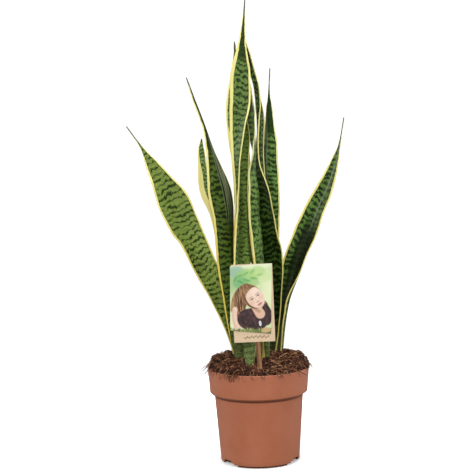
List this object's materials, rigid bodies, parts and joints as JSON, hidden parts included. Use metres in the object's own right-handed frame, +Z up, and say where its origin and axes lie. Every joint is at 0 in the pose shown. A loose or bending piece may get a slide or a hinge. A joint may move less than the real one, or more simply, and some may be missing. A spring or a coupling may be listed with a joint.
{
  "type": "potted snake plant",
  "caption": "Snake plant with tall, yellow-edged, dark-banded sword leaves in a round terracotta-coloured plastic nursery pot, with a picture label on a stake.",
  "frame": {"origin": "on the pot's axis, at the plane the pot stands on", "axes": "+Z up along the pot's axis; -Y is the front, the side the label faces; +X is to the right seen from the front"},
  "size_m": [0.303, 0.14, 0.637],
  "materials": {
    "pot_plastic": "satin",
    "peat": "matte",
    "leaf": "satin",
    "rootstock": "matte",
    "card_print": "satin",
    "card_back": "matte",
    "stake": "matte"
  },
  "bodies": {
    "root": {"pot": "pot_plastic", "soil": "peat", "rhizome": "rootstock", "leaf_tallest": "leaf", "leaf_left_tall": "leaf", "leaf_left_broad": "leaf", "leaf_left_small": "leaf", "leaf_back_left": "leaf", "leaf_middle_short": "leaf", "leaf_middle_twisted": "leaf", "leaf_right_twisted": "leaf", "leaf_back_short": "leaf", "leaf_back_right": "leaf", "leaf_far_right": "leaf", "label_card": "card_print", "label_backing": "card_back", "label_stake": "stake"}
  },
  "joints": []
}
